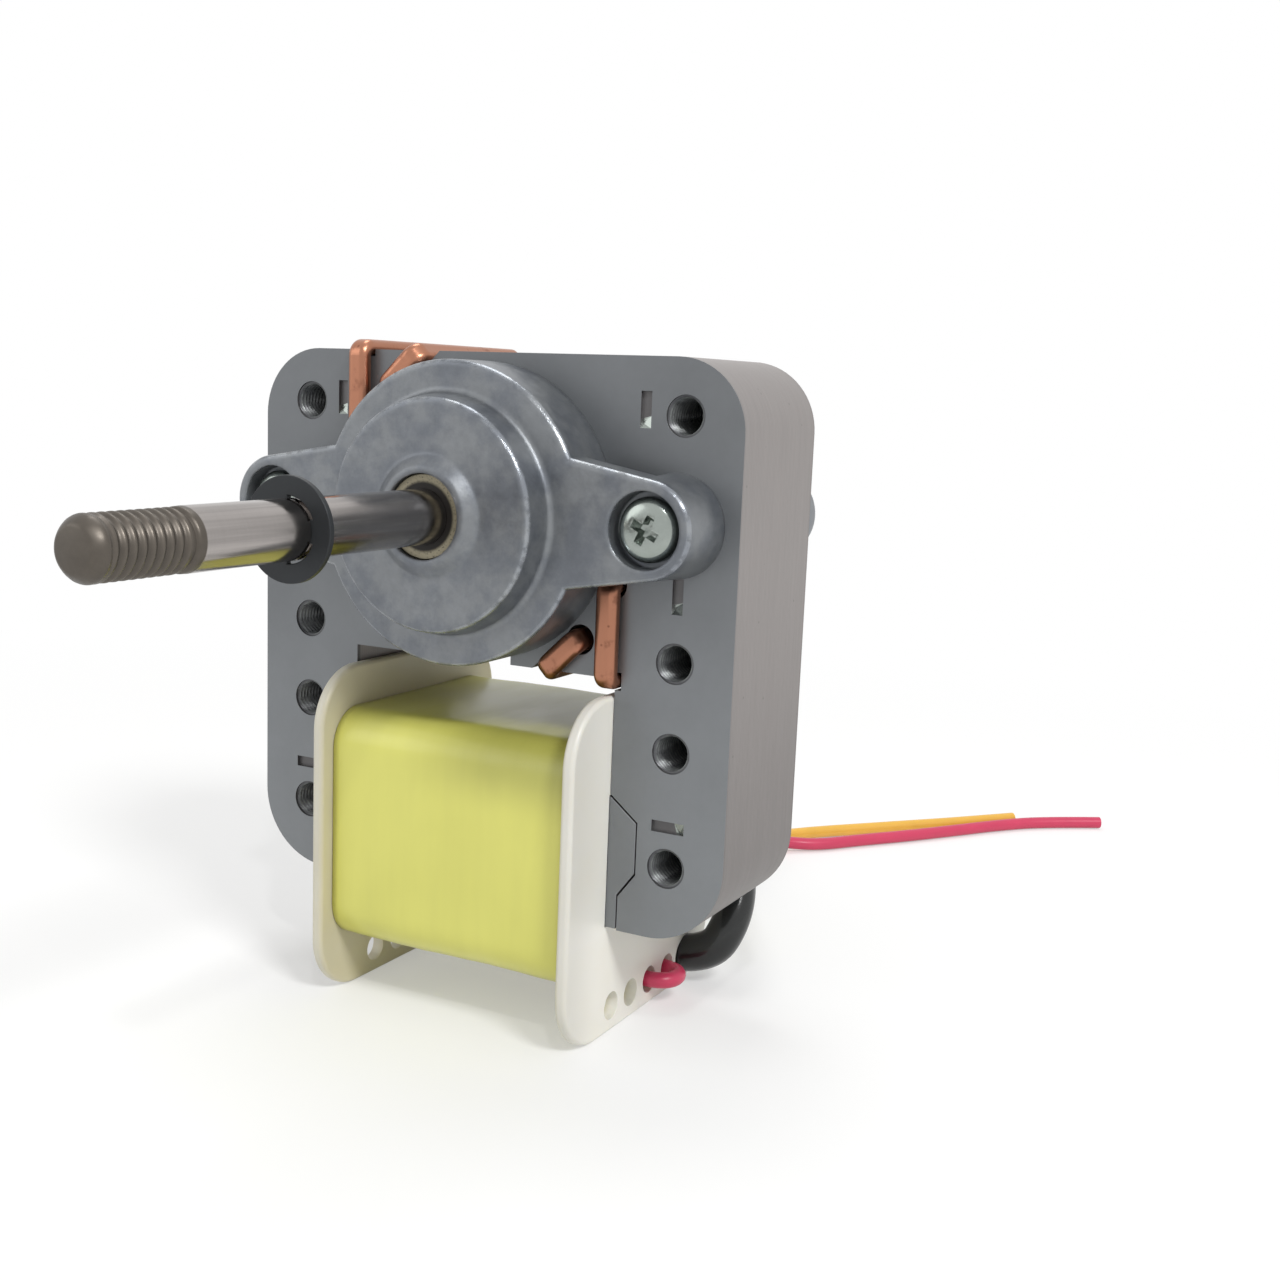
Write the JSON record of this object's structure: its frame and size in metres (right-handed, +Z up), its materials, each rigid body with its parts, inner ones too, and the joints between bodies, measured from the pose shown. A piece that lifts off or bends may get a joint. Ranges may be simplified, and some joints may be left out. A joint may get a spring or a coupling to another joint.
{
  "type": "condenser fan motor",
  "caption": "Shaded-pole condenser fan motor: square lamination stack over a bobbin, cast end brackets, copper shading rings and a long threaded shaft with a retaining clip.",
  "frame": {"origin": "on the standing plane under the motor, below the middle of the box of the motor without its leads", "axes": "+Z up, the shaft lies along Y and points to -Y, +X is to the right as seen facing the shaft's tip"},
  "size_m": [0.1064, 0.252, 0.1037],
  "materials": {
    "lamination": "satin grey punched sheet",
    "nylon": "satin off-white moulding",
    "copper_wire": "enamelled copper wire",
    "tape": "glossy polyester tape",
    "copper": "bare copper strap, lightly tarnished",
    "casting": "as-cast blue grey",
    "zinc_plate": "bright zinc plate",
    "bronze": "sintered, oil soaked",
    "spring_steel": "plain",
    "felt": "oiled wool felt",
    "fibre": "vulcanised fibre",
    "rotor_steel": "ground laminations",
    "cage_metal": "die-cast",
    "ground_steel": "ground and polished",
    "black_steel": "black oxide",
    "red_cover": "insulation",
    "yellow_cover": "insulation",
    "black_sleeve": "insulating sleeve"
  },
  "bodies": {
    "stator": {"stator_core": "lamination", "yoke_core": "lamination", "bobbin": "nylon", "coil_winding": "copper_wire", "tape_wrap": "tape", "shading_ring_lower_outer": "copper", "shading_ring_lower_inner": "copper", "shading_ring_upper_outer": "copper", "shading_ring_upper_inner": "copper", "front_bracket": "casting", "rear_bracket": "casting", "bracket_screw_right": "zinc_plate", "bracket_screw_left": "zinc_plate", "front_bearing": "bronze", "rear_bearing": "bronze", "front_retainer": "spring_steel", "rear_retainer": "spring_steel", "front_oil_felt": "felt", "rear_oil_felt": "felt", "red_lead": "red_cover", "yellow_lead": "yellow_cover", "lead_sleeve": "black_sleeve"},
    "rotor": {"shaft": "ground_steel", "rotor_core": "rotor_steel", "rotor_cage": "cage_metal", "front_spacer": "spring_steel", "rear_spacer": "spring_steel", "front_thrust_washer": "fibre", "rear_thrust_washer": "fibre", "e_clip": "black_steel"}
  },
  "joints": [
    {"name": "rotor_spin", "type": "hinge", "parent": "stator", "child": "rotor", "pos_m": [0, 0, 0.0786], "axis": [0, 1, 0], "continuous": true}
  ]
}
